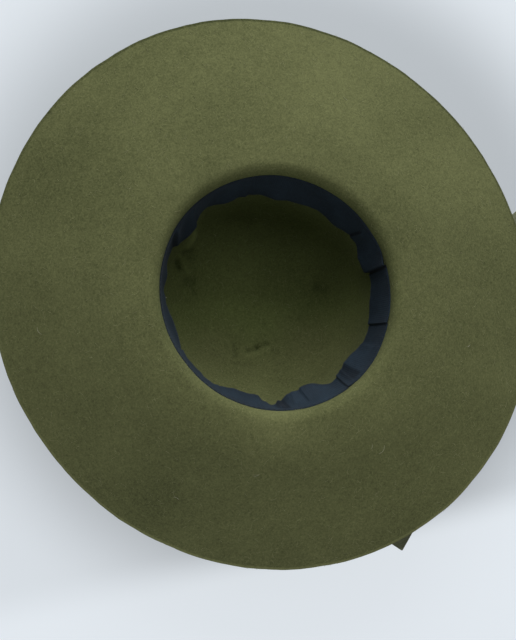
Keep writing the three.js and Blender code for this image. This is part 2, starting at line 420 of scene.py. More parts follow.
@dataclass(frozen=True)
class LooseWool:
    """Single wool hairs: dull, pale where they catch the light, and lighter than the felt below."""

    name: str
    dark: str
    light: str
    change_mm: float = 3.333  # over about this length a hair's tone changes

    def build(self) -> bpy.types.Material:
        """Makes the hairs' material."""
        tree = start_material(self.name)
        place = add_node(tree, "ShaderNodeTexCoord").outputs["Object"]
        scale = 1 / (self.change_mm * MM)
        tone = add_node(
            tree, "ShaderNodeTexNoise", {"Vector": place, "Scale": scale}
        ).outputs["Fac"]
        dyed = add_node(
            tree,
            "ShaderNodeMix",
            {"Factor": tone, "A": linear(self.dark), "B": linear(self.light)},
            data_type="RGBA",
        )
        return finish_material(
            tree,
            {
                "Base Color": dyed.outputs["Result"],
                "Roughness": 0.7,
                "Specular IOR Level": 0.3,
            },
        )


@dataclass(frozen=True)
class PaleFloor:
    """A white board whose glow is painted light, so that shadows on it stay pale.

    The glow is dimmer round the hat, a painted shadow of the wide brim, and strongest on one side,
    painted light where most of the room's light would fall on the board.
    """

    name: str = "painted_white_board"
    dark: str = "#6c7276"
    light: str = "#73797d"
    brush_mm: float = 166.7  # the paint's broad, faint unevenness
    glow: str = "#e3e9ef"
    glow_far: float = 0.77
    glow_shade: float = 0.44
    glow_bright: float = 0.87
    shade_centre_mm: tuple[float, float] = (60.0, 20.0)
    # from that centre: where the painted shadow is deepest, and where it ends
    shade_mm: tuple[float, float] = (226.0, 345.0)
    bright_angle: float = 244.0
    # toward that angle: where the painted light of the bright side starts, and where it is full
    bright_mm: tuple[float, float] = (193.0, 232.0)

    def build(self) -> bpy.types.Material:
        """Makes the floor's material."""
        tree = start_material(self.name)
        place = add_node(tree, "ShaderNodeTexCoord").outputs["Object"]
        tone = add_node(
            tree,
            "ShaderNodeTexNoise",
            {"Vector": place, "Scale": 1 / (self.brush_mm * MM), "Detail": 3.0},
        ).outputs["Fac"]
        painted = add_node(
            tree,
            "ShaderNodeMix",
            {"Factor": tone, "A": linear(self.dark), "B": linear(self.light)},
            data_type="RGBA",
        )
        centre = (self.shade_centre_mm[0] * MM, self.shade_centre_mm[1] * MM, 0.0)
        turn = math.radians(self.bright_angle)
        way = (math.cos(turn), math.sin(turn), 0.0)
        away, toward = (
            add_node(
                tree, "ShaderNodeVectorMath", {0: place, 1: other}, operation=operation
            ).outputs["Value"]
            for other, operation in ((centre, "DISTANCE"), (way, "DOT_PRODUCT"))
        )
        shaded, bright = (
            add_node(
                tree,
                "ShaderNodeMapRange",
                {
                    "Value": length,
                    "From Min": span_mm[0] * MM,
                    "From Max": span_mm[1] * MM,
                    "To Min": low,
                    "To Max": high,
                },
                interpolation_type="SMOOTHSTEP",
            ).outputs["Result"]
            for length, span_mm, low, high in (
                (away, self.shade_mm, self.glow_shade, self.glow_far),
                (toward, self.bright_mm, 0.0, 1.0),
            )
        )
        strength = add_node(
            tree, "ShaderNodeMix", {"Factor": bright, "A": shaded, "B": self.glow_bright}
        )
        return finish_material(
            tree,
            {
                "Base Color": painted.outputs["Result"],
                "Roughness": 0.7,
                "Specular IOR Level": 0.3,
                # painted light: the floor glows, dimmer in a painted shadow round the hat and brightest
                # on one side
                "Emission Color": linear(self.glow),
                "Emission Strength": strength.outputs["Result"],
            },
        )


# ---- Making meshes ----


def polar(angle: np.ndarray, radius: np.ndarray, z: np.ndarray) -> np.ndarray:
    """Gives points from their angle in degrees, distance from the hat's axis and height."""
    angle, radius, z = np.broadcast_arrays(angle, radius, z)
    turn = np.radians(angle)
    return np.stack([radius * np.cos(turn), radius * np.sin(turn), z], axis=-1)


def turn_angles(count: int) -> np.ndarray:
    """Gives evenly spaced angles round one turn, in degrees."""
    return np.arange(count) * 360.0 / count


def ease(value: np.ndarray) -> np.ndarray:
    """Eases a value from 0 to 1, and holds it there beyond."""
    part = np.clip(value, 0, 1)
    return part * part * (3 - 2 * part)


def angle_between(angle: np.ndarray, other: np.ndarray) -> np.ndarray:
    """Gives the difference between angles, from -180 to 180 degrees."""
    return (np.asarray(angle) - other + 180.0) % 360.0 - 180.0


def catmull_rom(rows: np.ndarray, steps: int) -> np.ndarray:
    """Draws a smooth open curve through rows of numbers.

    Args:
        rows: the rows that it passes through, one for each bend.
        steps: how many equal steps of its parameter it is drawn in.

    Returns:
        The curve's rows, steps + 1 of them.
    """
    ends = np.vstack([2 * rows[0] - rows[1], rows, 2 * rows[-1] - rows[-2]])
    at = np.linspace(0, len(rows) - 1, steps + 1)
    start = np.minimum(at.astype(int), len(rows) - 2)
    part = (at - start)[:, None]
    before, here, after, beyond = (ends[start + i] for i in range(4))
    leave = (after - before) / 2
    arrive = (beyond - here) / 2
    return (
        (2 * here - 2 * after + leave + arrive) * part**3
        + (-3 * here + 3 * after - 2 * leave - arrive) * part**2
        + leave * part
        + here
    )


def link_mesh(name: str, points: np.ndarray, faces: list[list[int]]) -> bpy.types.Object:
    """Makes a smooth object that faces outward.

    Args:
        name: the piece's name.
        points: its points in millimetres.
        faces: its faces, as point numbers.

    Returns:
        The new object, linked to the scene.
    """
    corner = [(face[0], face[i], face[i + 1]) for face in faces for i in range(1, len(face) - 1)]
    a, b, c = points[np.array(corner)].transpose(1, 0, 2)
    if np.einsum("ij,ij->i", a, np.cross(b, c)).sum() < 0:
        faces = [face[::-1] for face in faces]
    mesh = bpy.data.meshes.new(name)
    mesh.from_pydata((points * MM).tolist(), [], faces)
    mesh.polygons.foreach_set("use_smooth", np.ones(len(faces), bool))
    mesh.update()
    piece = bpy.data.objects.new(name, mesh)
    bpy.context.scene.collection.objects.link(piece)
    return piece


def skin(
    name: str, rings: list[np.ndarray], is_loop: bool, weave: list[np.ndarray] | None = None
) -> bpy.types.Object:
    """Skins a run of rings of points into one closed surface.

    Args:
        name: the piece's name.
        rings: lists of as many points, in millimetres. A ring of one point is a pole.
        is_loop: whether the last ring joins the first.
        weave: for ribbons, each ring's millimetres along and across the ribbon.

    Returns:
        The new object.
    """
    starts = np.cumsum([0] + [len(ring) for ring in rings])
    faces = []
    for i in range(len(rings) if is_loop else len(rings) - 1):
        j = (i + 1) % len(rings)
        near, far = len(rings[i]), len(rings[j])
        k = np.arange(max(near, far))
        after = (k + 1) % len(k)
        near_side = [starts[i] + k % near, starts[i] + after % near]
        far_side = [starts[j] + after % far, starts[j] + k % far]
        quad = np.stack(near_side + far_side, 1)
        if near == 1:
            quad = quad[:, [0, 2, 3]]
        elif far == 1:
            quad = quad[:, [0, 1, 2]]
        faces += quad.tolist()
    piece = link_mesh(name, np.concatenate(rings), faces)
    if weave is not None:
        flat = np.concatenate(weave) * MM
        threads = np.column_stack([flat, np.zeros(len(flat))])
        layer = piece.data.attributes.new("weave", "FLOAT_VECTOR", "POINT")
        layer.data.foreach_set("vector", threads.ravel())
    return piece


def add_values(piece: bpy.types.Object, name: str, values: np.ndarray) -> None:
    """Gives each point of a piece a number that its material reads by name."""
    layer = piece.data.attributes.new(name, "FLOAT", "POINT")
    layer.data.foreach_set("value", np.asarray(values, np.float32))


def thread_tubes(
    lines: np.ndarray, radius: float | np.ndarray, sides: int
) -> tuple[np.ndarray, list[list[int]]]:
    """Makes short closed tubes with thin ends round many lines.

    Args:
        lines: the middle lines in millimetres, each of as many points.
        radius: the radius at the middle of each.
        sides: how many sides the tubes have.

    Returns:
        The points and the faces of all the tubes.
    """
    count, steps = lines.shape[:2]
    forward = np.gradient(lines, axis=1)
    forward /= np.linalg.norm(forward, axis=2, keepdims=True)
    steep = np.abs(forward[:, :1, 2]) > STEEP
    up = np.where(steep[..., None], [1.0, 0.0, 0.0], [0.0, 0.0, 1.0])
    side = np.cross(forward, up)
    side /= np.linalg.norm(side, axis=2, keepdims=True)
    over = np.cross(side, forward)
    turn = 2 * math.pi * np.arange(sides) / sides
    taper = np.sin(np.linspace(TAPER_START, math.pi - TAPER_START, steps))
    size = (np.broadcast_to(radius, count)[:, None] * taper)[:, :, None, None]
    cos, sin = np.cos(turn)[:, None], np.sin(turn)[:, None]
    round_line = cos * side[:, :, None] + sin * over[:, :, None]
    rings = lines[:, :, None] + size * round_line
    each = steps * sides + 2
    points = np.concatenate([lines[:, :1], rings.reshape(count, -1, 3), lines[:, -1:]], axis=1)
    k = np.arange(sides)
    after = (k + 1) % sides
    starts = 1 + np.arange(steps - 1)[:, None] * sides
    beyond = starts + sides
    walls = np.stack([starts + k, starts + after, beyond + after, beyond + k], -1).reshape(-1, 4)
    last_ring = 1 + (steps - 1) * sides
    ends = np.concatenate(
        [
            np.stack([np.zeros_like(k), 1 + after, 1 + k], -1),
            np.stack([np.full_like(k, each - 1), last_ring + k, last_ring + after], -1),
        ]
    )
    base = np.arange(count)[:, None, None] * each
    faces = (base + walls).reshape(-1, 4).tolist() + (base + ends).reshape(-1, 3).tolist()
    return points.reshape(-1, 3), faces


def dress(
    piece: bpy.types.Object, material: bpy.types.Material, slot: str, *nodes: str
) -> bpy.types.Object:
    """Gives a piece its material and body, and hides the CAD nodes that it stands for.

    Args:
        piece: the new piece, in place.
        material: what it is made of.
        slot: a material slot; not used.
        nodes: the CAD nodes that it replaces, if any.

    Returns:
        The same piece.
    """
    piece.data.materials.append(material)
    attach(piece, BODY)
    if nodes:
        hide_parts(*nodes)
    mesh = piece.data
    log.info("%s: %d points, %d faces", piece.name, len(mesh.vertices), len(mesh.polygons))
    return piece


class Held(Enum):
    """The ways that a ribbon of the hat is held."""

    GATHERED = "gathered"
    STRETCHED = "stretched"
    LAID = "laid"


@dataclass(frozen=True)
class Unevenness:
    """Soft low waves in all directions, which keep a surface from being too true."""

    seed: int
    waves: int
    shortest: float
    longest: float
    swing: float

    def at(self, points: np.ndarray) -> np.ndarray:
        """Gives how far the surface stands up at each point, in millimetres."""
        draw = np.random.default_rng(self.seed)
        ways = draw.normal(size=(self.waves, 3))
        ways /= np.linalg.norm(ways, axis=1, keepdims=True)
        lengths = draw.uniform(self.shortest, self.longest, self.waves)
        starts = draw.uniform(0, 2 * math.pi, self.waves)
        total = np.zeros(points.shape[:-1])
        for way, length, start in zip(ways, lengths, starts):
            total += np.sin(points @ way * (2 * math.pi / length) + start)
        return self.swing * total / math.sqrt(self.waves)


# ---- The felt body ----


@dataclass(frozen=True)
class DroopWave:
    """So many waves of the brim's droop in one turn, hanging lowest at an angle."""

    waves: int
    swing: float
    at: float


@dataclass(frozen=True)
class Dent:
    """A soft dent in the crown. A negative depth is a bulge."""

    angle: float
    height: float
    across: float
    tall: float
    depth: float


@dataclass(frozen=True)
class Crease:
    """A soft crease pressed into the inner face between two places. A negative depth is a ridge."""

    from_angle: float
    from_along: float
    to_angle: float
    to_along: float
    wide: float
    depth: float


@dataclass(frozen=True)
class PaintedLightPatch:
    """A soft patch of painted light or shade on the inner face, which makes it darker or paler.

    The patches make up for what the lamps leave a little too dark or too pale.
    """

    angle: float
    along: float
    wide: float
    tone: float


@dataclass
class FeltBody:
    """The one-piece felt: crown, roll and brim, with its cut edge."""

    wall: float = 2.0
    crown_height: float = 110.0
    opening_radius: float = 90.6
    opening_oval: float = 1.0
    opening_pull: float = 1.7
    pull_toward: float = 313.0
    shoulder_radius: float = 50.0
    wall_lean: float = 5.0
    roll_radius: float = 9.0
    bend_length: float = 35.0
    brim_width: float = 120.4
    mean_droop: float = 16.0
    droop_waves: tuple[DroopWave, ...] = (DroopWave(1, 8.2, 204), DroopWave(2, 4.8, 5))
    dents: tuple[Dent, ...] = (
        Dent(104, 34, 10, 19, 4),
        Dent(120, 21.5, 8, 7, -3),
        Dent(205, 18, 18, 7, 1.5),
        Dent(318, 30, 24, 14, 1.5),
        Dent(338, 11, 12, 6, 2),
        Dent(20, 40, 30, 20, -1.5),
    )
    creases: tuple[Crease, ...] = (
        Crease(226, 39.7, 238, 36.2, 2.4, 0.8),
        Crease(238, 36.2, 253, 33.8, 2.0, 1.0),
        Crease(228, 44.5, 252, 38.0, 3.0, -0.5),
        Crease(206, 39.0, 213, 47.0, 2.3, 0.7),
        Crease(217, 54.0, 233, 52.4, 2.5, 0.4),
        Crease(262, 19.0, 267, 16.0, 2.0, 0.5),
        Crease(120, 74.5, 118, 80.0, 3.0, 1.6),
        Crease(114, 85.0, 119, 68.0, 2.2, -0.7),
        Crease(111, 84.5, 106, 79.2, 3.2, 1.1),
        Crease(110.5, 75.5, 109, 71.0, 2.5, 0.6),
        Crease(126, 65.8, 123, 58.4, 3.6, 0.8),
        Crease(134, 54.0, 128, 58.4, 2.5, 0.6),
        Crease(96, 106.0, 100, 92.0, 4.5, -1.3),
        Crease(100, 92.0, 106.5, 90.0, 4.5, -1.1),
        Crease(338, 67.0, 342, 60.0, 5.0, 0.6),
        Crease(60, 76.0, 72, 84.0, 7.0, 0.5),
    )
    # patches of painted light and shade on the inner face
    painted_light_patches: tuple[PaintedLightPatch, ...] = (
        PaintedLightPatch(325, 258, 45, -0.14),
        PaintedLightPatch(355, 180, 24, -0.18),
        PaintedLightPatch(355, 275, 32, 0.16),
        PaintedLightPatch(40, 258, 55, 0.13),
        PaintedLightPatch(116, 256, 32, -0.18),
        PaintedLightPatch(204, 268, 26, -0.25),
        PaintedLightPatch(232, 180, 26, 0.18),
        PaintedLightPatch(330, 100, 26, 0.26),
        PaintedLightPatch(305, 90, 24, 0.22),
        PaintedLightPatch(340, 66, 20, -0.2),
        PaintedLightPatch(109, 22, 26, 0.16),
    )
    crown_shade_ends: float = 12.0  # how far below the roll the painted shade tint of the crown's inside starts to end
    crown_shade_blend: float = 26.0
    lit_side_toward: float = 240.0  # the side of the crown's inside that faces the light, where the painted shade tint is weaker
    lit_side_most: float = 0.9
    lit_side_spread: float = 1.4  # over 1, so that it is full for some way to both sides
    lit_side_from: float = 8.0  # along the inner face, where that weakening of the painted shade tint starts
    lit_side_blend: float = 50.0
    crease_shade_full: float = 1.6  # how deep a crease is where its painted shade is full
    steps_round: int = 440
    steps_inside: tuple[int, ...] = (22, 54, 18, 10, 12, 30)
    steps_outside: tuple[int, ...] = (5, 12, 10, 8, 7, 14)
    edge_round: float = 0.5  # how far the cut edge bulges
    # the cut edge gets a painted highlight on this side, and painted shade on the opposite one
    edge_highlight_toward: float = 230.0
    edge_light_wide: float = 1.4
    edge_steps: int = 5
    edge_wander_reach: float = 30.0  # how far in from the edge its wander is felt
    tip_blend: float = 25.0  # over this length past the flat of the tip, the felt turns uneven
    soft: Unevenness = Unevenness(seed=11, waves=40, shortest=34, longest=120, swing=0.22)
    fine: Unevenness = Unevenness(seed=23, waves=60, shortest=8, longest=26, swing=0.05)
    edge_wander: Unevenness = Unevenness(seed=7, waves=36, shortest=7, longest=45, swing=0.22)

    def __post_init__(self) -> None:
        """Works out the lengths and heights that follow from the driving sizes."""
        self.heading = 90 - self.wall_lean
        turn = math.radians(self.heading)
        self.wall_top = self.crown_height - self.roll_radius * (1 - math.cos(turn))
        shoulder_rise = self.shoulder_radius * (1 - math.cos(turn))
        self.wall_length = (self.wall_top - self.wall - shoulder_rise) / math.sin(turn)
        reach = self.shoulder_radius * math.sin(turn) + self.wall_length * math.cos(turn)
        self.tip_radius = self.opening_radius - reach
        self.lengths = (
            self.tip_radius,
            self.shoulder_radius * turn,
            self.wall_length,
            self.roll_radius * turn,
            self.bend_length,
            self.brim_width - self.bend_length,
        )
        self.total = sum(self.lengths)

    def droop(self, angle: np.ndarray) -> np.ndarray:
        """Gives how far the brim hangs below level at an angle, in degrees."""
        waves = (w.swing * np.cos(np.radians(w.waves * (angle - w.at))) for w in self.droop_waves)
        return self.mean_droop + sum(waves)

    def roll_start(self) -> float:
        """Gives the length along the inner face at which the roll starts."""
        return sum(self.lengths[:3])

    def profile(
        self, angle: np.ndarray, along: np.ndarray
    ) -> tuple[np.ndarray, np.ndarray, np.ndarray]:
        """Follows the inner face outward from the centre of the tip.

        Args:
            angle: angles in degrees.
            along: lengths along the face, of a shape that broadcasts with the angles.

        Returns:
            The distance from the axis, the height, and the heading above level in degrees.
        """
        angle, along = np.broadcast_arrays(np.asarray(angle, float), np.asarray(along, float))
        turns = (0.0, self.heading, 0.0, -self.heading, -self.droop(angle), 0.0)
        radius = np.zeros_like(along)
        z = np.full_like(along, self.wall)
        heading = np.zeros_like(along)
        start = 0.0
        for length, turn in zip(self.lengths, turns):
            used = np.clip(along - start, 0, length)
            turned = np.radians(turn * used / length)
            chord = used * np.sinc(turned / (2 * math.pi))
            radius = radius + chord * np.cos(heading + turned / 2)
            z = z + chord * np.sin(heading + turned / 2)
            heading = heading + turned
            start += length
        return radius, z, np.degrees(heading)

    def dent_depth(self, angle: np.ndarray, radius: np.ndarray, z: np.ndarray) -> np.ndarray:
        """Gives how far the dents press the crown in at an angle and a height."""
        total = np.zeros_like(radius)
        for dent in self.dents:
            round_way = np.radians(angle_between(angle, dent.angle)) * radius / dent.across
            up_way = (z - dent.height) / dent.tall
            total = total + dent.depth * np.exp(-(round_way**2) - up_way**2)
        return total

    def pull(self, angle: np.ndarray, along: np.ndarray) -> np.ndarray:
        """Gives how far out the opening is pulled, growing up the wall and fading over the brim."""
        up_wall = np.clip((along - sum(self.lengths[:2])) / self.wall_length, 0, 1)
        over_brim = np.clip((along - sum(self.lengths[:4])) / self.brim_width, 0, 1)
        toward = np.cos(np.radians(angle - self.pull_toward))
        return self.opening_pull * toward * (up_wall - over_brim)

    def wall_along(self, below: float) -> float:
        """Gives the length along the inner face of a point of the wall so far below its top."""
        return self.roll_start() - below / math.cos(math.radians(self.wall_lean))

    def point(
        self, angle: np.ndarray, along: np.ndarray, through: float | np.ndarray
    ) -> np.ndarray:
        """Gives points of the smooth felt, before it is made uneven.

        Args:
            angle: angles in degrees.
            along: lengths along the inner face.
            through: how far out through the felt from the inner face.

        Returns:
            The points, in millimetres.
        """
        angle, along = np.asarray(angle, float), np.asarray(along, float)
        radius, z, heading = self.profile(angle, along)
        oval = self.opening_oval * np.cos(np.radians(2 * angle))
        on_tip = np.minimum(1.0, along / self.tip_radius)
        shift = (oval + self.dent_depth(angle, radius, z)) * on_tip - self.pull(angle, along)
        lean = np.radians(heading)
        out = radius + through * np.sin(lean) - shift
        return polar(angle, out, z - through * np.cos(lean))

    def crease_depth(self, points: np.ndarray) -> np.ndarray:
        """Gives how deep the creases are pressed at points of the inner face."""
        total = np.zeros(points.shape[:-1])
        for crease in self.creases:
            start = self.point(crease.from_angle, crease.from_along, 0.0)
            run = self.point(crease.to_angle, crease.to_along, 0.0) - start
            part = np.clip((points - start) @ run / (run @ run), 0, 1)
            away = np.linalg.norm(points - start - part[..., None] * run, axis=-1)
            total += crease.depth * np.exp(-((away / crease.wide) ** 2))
        return total

    def surface(self, angle: np.ndarray, along: np.ndarray, through: np.ndarray) -> np.ndarray:
        """Gives points of the felt as it lies, uneven and creased, with a slightly wavering edge.

        Args:
            angle: angles in degrees.
            along: lengths along the inner face.
            through: how far out through the felt from the inner face. Negative is off that face.

        Returns:
            The points, in millimetres. The outside of the tip stays flat, because it rests there.
        """
        angle, along, through = np.broadcast_arrays(
            np.asarray(angle, float), np.asarray(along, float), np.asarray(through, float)
        )
        reach = self.edge_wander_reach
        near_edge = ease((along - self.total + reach) / reach)
        along = along + self.edge_wander.at(polar(angle, self.opening_radius * 2, 0.0)) * near_edge
        base = self.point(angle, along, 0.0)
        inner = np.clip(1 - through / self.wall, 0, 1)
        lifted = ease((along - self.tip_radius) / self.tip_blend)
        rise = self.soft.at(base) * lifted + self.fine.at(base) * (inner + (1 - inner) * lifted)
        points = self.point(angle, along, through - rise + self.crease_depth(base) * inner)
        points[..., 2] = np.maximum(points[..., 2], 0.0)
        return points

    def _stations(self, counts: tuple[int, ...]) -> np.ndarray:
        """Gives the lengths along the inner face that the felt is divided at.

        Args:
            counts: the steps in each run of the profile.

        Returns:
            The lengths, without the centre, and with one more where the cut edge's painted light and
            shade start.
        """
        runs = []
        start = 0.0
        for length, steps in zip(self.lengths, counts):
            runs.append(start + length * np.arange(1, steps + 1) / steps)
            start += length
        stations = np.concatenate(runs)
        stations[-1] -= self.edge_round
        return np.insert(stations, -1, stations[-1] - self.edge_light_wide)

    def _crown_shade_tint(self, angles: np.ndarray, along: np.ndarray, inner: np.ndarray) -> np.ndarray:
        """Gives how strongly the inside of the crown gets its painted shade tint, from 0 to 1.

        Args:
            angles: angles in degrees, along a row.
            along: lengths along the inner face, down a column.
            inner: how near each length's points are to the inner face, from 0 to 1, as a column.

        Returns:
            The values, a row for each length.
        """
        below_roll = 1 - ease((along - self.roll_start() + self.crown_shade_ends) / self.crown_shade_blend)
        toward = self.lit_side_spread * np.cos(np.radians(angles - self.lit_side_toward))
        on_lit_side = self.lit_side_most * ease(toward)
        return below_roll * inner * (1 - on_lit_side * ease((along - self.lit_side_from) / self.lit_side_blend))

    def _painted_shading(self, angles: np.ndarray, along: np.ndarray, inner: np.ndarray) -> np.ndarray:
        """Gives the felt's painted shading, from 0 for painted shade to 1 for a painted highlight.

        Args:
            angles: angles in degrees, along a row.
            along: lengths along the inner face, down a column.
            inner: how near each length's points are to the inner face, from 0 to 1, as a column.

        Returns:
            The values, a row for each length.
        """
        base = self.point(angles, along, 0.0)
        # painted shade in the creases and a painted highlight on the ridges
        pressed = np.clip(self.crease_depth(base) / self.crease_shade_full, -1, 1)
        nap = 0.5 - 0.5 * pressed * inner
        # soft patches of painted light and shade
        for patch in self.painted_light_patches:
            away = np.linalg.norm(base - self.point(patch.angle, patch.along, 0.0), axis=-1)
            nap += patch.tone * np.exp(-((away / patch.wide) ** 2)) * (inner > 0)
        # the cut edge: a painted highlight on one side, painted shade on the opposite one
        rim = self.total - self.edge_round - self.edge_light_wide - 0.01
        at_edge = (along > rim) * (inner > 0)
        edge_light = 0.5 + 0.5 * np.cos(np.radians(angles - self.edge_highlight_toward))
        return nap + (edge_light - nap) * at_edge

    def build(self, felt: bpy.types.Material) -> None:
        """Builds and dresses the felt body."""
        angles = turn_angles(self.steps_round)
        inside = self._stations(self.steps_inside)
        outside = self._stations(self.steps_outside)[::-1]
        turn = math.pi * np.arange(1, self.edge_steps) / self.edge_steps
        edge = inside[-1] + self.edge_round * np.sin(turn)
        edge_through = self.wall * (1 - np.cos(turn)) / 2
        outer = np.full(len(outside), self.wall)
        along = np.concatenate([inside, edge, outside])[:, None]
        through = np.concatenate([np.zeros(len(inside)), edge_through, outer])[:, None]
        rings = self.surface(angles[None], along, through)
        centres = self.surface(np.zeros((2, 1)), 0.0, np.array([[0.0], [self.wall]]))
        piece = skin("felt_body", [centres[0], *rings, centres[1]], False)
        inner = 1 - through / self.wall
        # painted shade tint for the inside of the crown
        kept = self._crown_shade_tint(angles[None], along, inner)
        # painted shading: creases, patches of painted light and shade, and the cut edge
        nap = self._painted_shading(angles[None], along, inner)
        add_values(piece, "kept", np.concatenate([[1.0], kept.ravel(), [0.0]]))
        add_values(piece, "nap", np.concatenate([[0.5], nap.ravel(), [0.5]]))
        dress(piece, felt, "felt", "hat_body")


# ---- Loose hairs on the felt ----


@dataclass(frozen=True)
class Lint:
    """A scrap of lint: where it lies on the inner face, which way it points, how far it bends."""

    angle: float
    along: float
    heading: float
    length: float
    bend: float
    thick: float


@dataclass
class LooseFibres:
    """Fine wool hairs that have worked loose from the felt, and a few scraps of pale lint."""

    felt: FeltBody
    inside_count: int = 2600
    outside_count: int = 1300
    edge_count: int = 520
    shortest: float = 2.0
    longest: float = 6.5
    highest: float = 0.7
    thick: float = 0.13  # a real hair is about 0.03 mm: drawn this thick so that it shows
    curl: float = 70.0  # how unevenly the hairs curl, in degrees
    spare: int = 4  # places drawn for each hair; the further out one is, the likelier it is kept
    nearest: float = 2.0  # how near the centre of the tip a hair may wander
    from_centre: float = 4.0  # no hair starts nearer the centre, or bends as if it lay nearer
    from_edge: float = 1.0
    edge_inset: float = 0.4  # how far in from the cut edge the hairs on it start
    edge_margin: float = 0.2  # how far they stay from both faces
    edge_reach: float = 1.3
    edge_least: float = 0.3  # reaches go by the square of a part from this to 1: most are short
    edge_sweep: float = 1.1
    edge_rise: float = 0.5
    steps: int = 6
    seed: int = 41
    lint: tuple[Lint, ...] = (
        Lint(266, 223.1, 60, 9, 95, 0.26),
        Lint(265, 217.0, 110, 4, 60, 0.22),
        Lint(226.5, 219.3, 80, 5, 60, 0.24),
        Lint(208, 258.1, 130, 5, -70, 0.24),
        Lint(153, 263.3, 60, 7, 90, 0.26),
        Lint(142, 88.9, 0, 2.2, 0, 1.3),
        Lint(35, 34.8, 80, 3, 20, 0.18),
        Lint(309, 236.0, 15, 4, 50, 0.22),
        Lint(33, 245.0, 100, 5, -60, 0.22),
    )

    def build(self, hair: bpy.types.Material, pale: bpy.types.Material) -> None:
        """Builds and dresses the hairs and the lint."""
        draw = np.random.default_rng(self.seed)
        lines = [
            self._lying(draw, self.inside_count, 1, 0.0),
            self._lying(draw, self.outside_count, -1, self.felt.wall),
            self._edge(draw),
        ]
        points, faces = thread_tubes(np.concatenate(lines), self.thick / 2, 3)
        dress(link_mesh("felt_hairs", points, faces), hair, "felt")
        scraps = [self._scrap(scrap) for scrap in self.lint]
        widths = np.array([scrap.thick / 2 for scrap in self.lint])
        points, faces = thread_tubes(np.stack(scraps), widths, 5)
        dress(link_mesh("lint_scraps", points, faces), pale, "felt")

    def _walk(
        self,
        angle: np.ndarray,
        along: np.ndarray,
        heading: np.ndarray,
        length: np.ndarray,
        bend: np.ndarray,
    ) -> tuple[np.ndarray, np.ndarray]:
        """Walks curved paths over the felt.

        Args:
            angle: where each starts.
            along: where each starts along the inner face.
            heading: the way each sets off, from outward, in degrees.
            length: how long each is.
            bend: how far each turns in all, in degrees.

        Returns:
            The angles and the lengths along the inner face at each step.
        """
        parts = np.linspace(0, 1, self.steps + 1)
        way = np.radians(heading[:, None] + bend[:, None] * parts)
        stride = length[:, None] / self.steps
        out = np.cumsum(stride * np.cos(way), axis=1)
        aside = np.cumsum(stride * np.sin(way), axis=1)
        path = np.clip(along[:, None] + out, self.nearest, self.felt.total - 2 * self.edge_inset)
        radius = np.maximum(self.felt.profile(angle[:, None], path)[0], self.from_centre)
        return angle[:, None] + np.degrees(aside / radius), path

    def _lying(self, draw: np.random.Generator, count: int, face: int, depth: float) -> np.ndarray:
        """Scatters hairs that lie on one face of the felt.

        Args:
            draw: the random numbers.
            count: how many there are.
            face: 1 for the inner face or -1 for the outer one.
            depth: how deep that face is, through the felt.

        Returns:
            The middle lines of the hairs.
        """
        tries = self.spare * count
        angle = draw.uniform(0, 360, tries)
        along = draw.uniform(self.from_centre, self.felt.total - self.from_edge, tries)
        radius = self.felt.profile(angle, along)[0]
        keep = np.flatnonzero(draw.uniform(0, radius.max(), tries) < radius)[:count]
        shape = (len(keep),)
        length = draw.uniform(self.shortest, self.longest, shape)
        heading = draw.uniform(0, 360, shape)
        bend = draw.normal(0, self.curl, shape)
        angles, path = self._walk(angle[keep], along[keep], heading, length, bend)
        arch = np.sin(math.pi * np.linspace(0, 1, self.steps + 1))
        height = self.thick / 3 + draw.uniform(0, self.highest, shape)[:, None] ** 2 * arch
        return self.felt.surface(angles, path, depth - face * height)

    def _edge(self, draw: np.random.Generator) -> np.ndarray:
        """Gives hairs that stand out a little from the cut edge."""
        angle = draw.uniform(0, 360, self.edge_count)[:, None]
        deepest = self.felt.wall - self.edge_margin
        depth = draw.uniform(self.edge_margin, deepest, self.edge_count)[:, None]
        start = self.felt.surface(angle, self.felt.total - self.edge_inset, depth)
        part = np.linspace(0, 1, self.steps + 1)[None, :, None]
        turn = np.radians(angle)[..., None]
        out = np.concatenate([np.cos(turn), np.sin(turn), np.zeros_like(turn)], axis=-1)
        aside = np.concatenate([-np.sin(turn), np.cos(turn), np.zeros_like(turn)], axis=-1)
        each = (self.edge_count, 1, 1)
        reach = draw.uniform(self.edge_least, 1, each) ** 2 * self.edge_reach
        sweep = draw.normal(0, self.edge_sweep, each)
        rise = draw.normal(0, self.edge_rise, each)
        up = np.array([0.0, 0.0, 1.0])
        return start + reach * (out * part + aside * sweep * part**2 + up * rise * part**2)

    def _scrap(self, scrap: Lint) -> np.ndarray:
        """Gives the middle line of one scrap of lint."""
        values = (scrap.angle, scrap.along, scrap.heading, scrap.length, scrap.bend)
        angles, path = self._walk(*(np.array([float(value)]) for value in values))
        return self.felt.surface(angles, path, -scrap.thick / 2)[0]


# ---- The sweatband ----


@dataclass(frozen=True)
class Tuck:
    """A fold pinched across the sweatband, which stands up sharply on one side.

    It dies away on the other side over "fade" degrees, anticlockwise if that is positive.
    """

    sewn_angle: float
    loose_angle: float
    fade: float
    height: float
    start: float = 0.0  # the part of the way down the band at which it begins
    soft: float = 0.35  # over how many millimetres the sharp side falls
    groove: float = 0.3  # how deep the ribbon sinks at the foot of the sharp side
    shade: float = 0.0  # how dark the painted shade is there, at the foot of the fold
    shade_wide: float = 2.4

    def past(self, angle: np.ndarray, part: np.ndarray) -> np.ndarray:
        """Gives how many degrees anticlockwise of its sharp side an angle is, so far down."""
        middle = self.sewn_angle + (self.loose_angle - self.sewn_angle) * part
        return angle_between(angle, middle)

    def begun(self, part: np.ndarray, over: float) -> np.ndarray:
        """Gives how far it has begun, from 0 to 1, where it takes a part of the way to begin."""
        return ease((part - self.start) / over + (self.start == 0))


